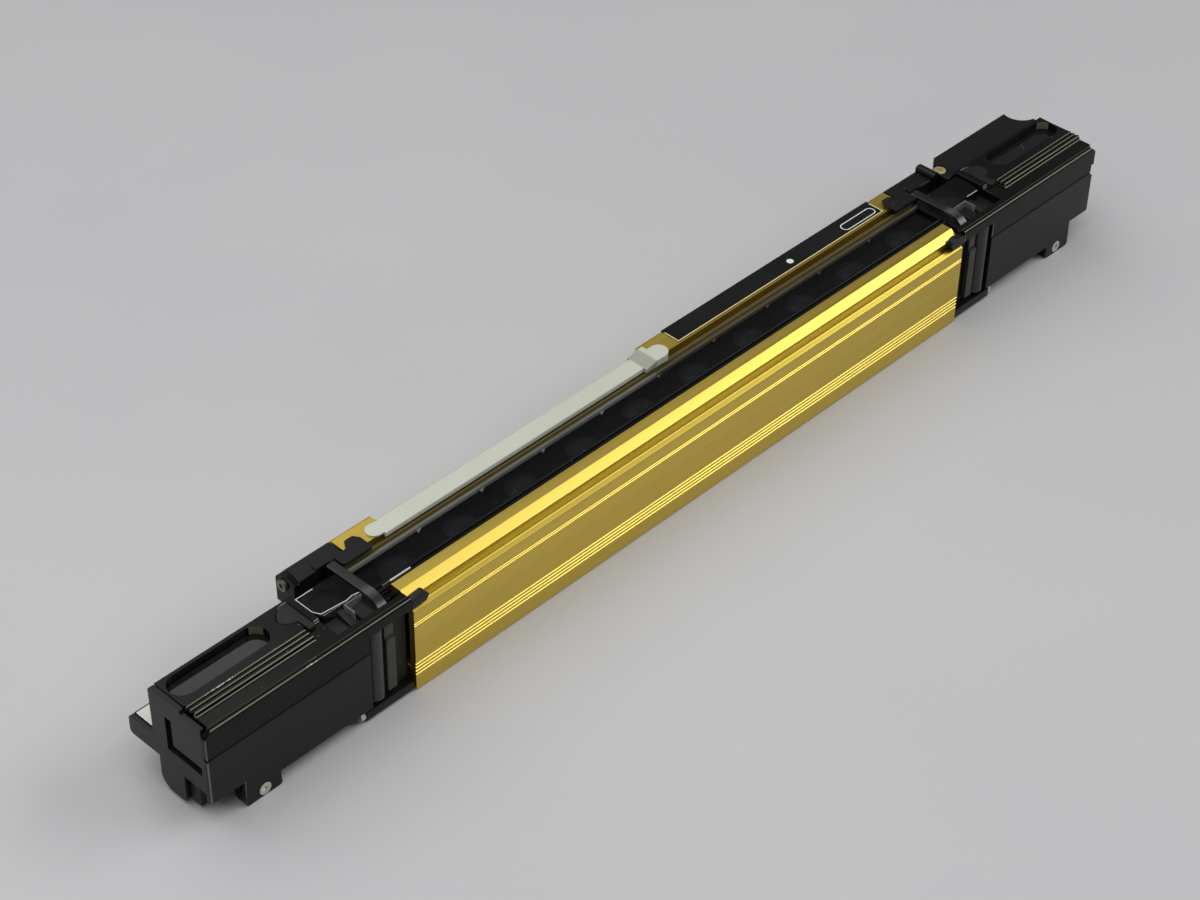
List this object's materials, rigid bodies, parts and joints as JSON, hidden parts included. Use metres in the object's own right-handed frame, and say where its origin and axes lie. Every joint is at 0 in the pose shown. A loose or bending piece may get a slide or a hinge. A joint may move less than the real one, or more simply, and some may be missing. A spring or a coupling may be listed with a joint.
{
  "type": "safety light curtain",
  "caption": "Straight gold anodised bar with a dark long window over a row of infrared beams, and a black moulded unit at each end, for guarding a machine opening.",
  "frame": {"origin": "middle of the underside of the whole device", "axes": "+X along the bar away from the cable end, +Z out of the long window, -Y towards the side with the mounting slot"},
  "size_m": [0.3124, 0.028, 0.03],
  "materials": {
    "gold_anodised": "satin gold anodised extrusion with fine drawn lines",
    "smoked_window": "smoked, nearly black polished window",
    "window_grey": "dark polished window, a little greyer",
    "grey_rubber": "matt dark grey rubber",
    "black_inner": "matt black moulded plastic",
    "lens_clear": "clear moulded lens",
    "board_green": "green circuit board",
    "diode_dark": "dark epoxy emitter",
    "label_black": "black printed plate",
    "pale_strip": "pale grey-green moulded plastic",
    "pale_steel": "pale plated screw",
    "black_satin": "satin black moulded plastic, fine grain",
    "black_gloss": "glossy black moulded plastic",
    "grey_satin": "satin grey plastic",
    "clear_part": "clear plastic",
    "plate_black": "bent sheet, satin black paint",
    "pale_plate": "bare pale plate"
  },
  "bodies": {
    "root": {"aluminium_housing": "gold_anodised", "back_window_seal": "grey_rubber", "beam_lenses": "lens_clear", "cable_grommet": "grey_rubber", "edge_strip": "pale_strip", "emitter_board": "board_green", "emitter_diodes": "diode_dark", "front_window": "smoked_window", "front_window_seal": "grey_rubber", "label_plate": "label_black", "left_back_lug": "black_satin", "left_back_screw": "pale_steel", "left_base_rail": "black_satin", "left_clamp_band": "black_satin", "left_clear_clip": "clear_part", "left_coupler_panel": "black_satin", "left_coupler_rib": "black_gloss", "left_end_core": "black_inner", "left_end_lenses": "lens_clear", "left_end_plate": "plate_black", "left_flange_cover": "black_satin", "left_flange_hook": "black_satin", "left_leaf_tab": "grey_satin", "left_lower_cover": "black_satin", "left_shelf_plate": "pale_plate", "left_side_shelf": "black_satin", "left_single_window": "smoked_window", "left_slot_tongue": "black_satin", "left_twin_window": "window_grey", "left_upper_cover": "black_gloss", "left_well_bracket": "grey_satin", "left_well_pad": "black_satin", "lug_screws": "pale_steel", "optics_chassis": "black_inner", "rail_screws": "pale_steel", "right_base_rail": "black_satin", "right_clamp_band": "black_satin", "right_clear_clip": "clear_part", "right_coupler_panel": "black_satin", "right_coupler_rib": "black_gloss", "right_cross_bar": "black_satin", "right_end_core": "black_inner", "right_end_lenses": "lens_clear", "right_end_plate": "plate_black", "right_flange_cover": "black_satin", "right_flange_hook": "black_satin", "right_leaf_tab": "grey_satin", "right_lower_cover": "black_satin", "right_single_window": "smoked_window", "right_slot_tongue": "black_satin", "right_top_screw": "pale_steel", "right_twin_window": "window_grey", "right_upper_cover": "black_gloss", "right_well_bracket": "grey_satin", "right_well_pad": "black_satin", "right_wide_cover": "black_satin"}
  },
  "joints": []
}
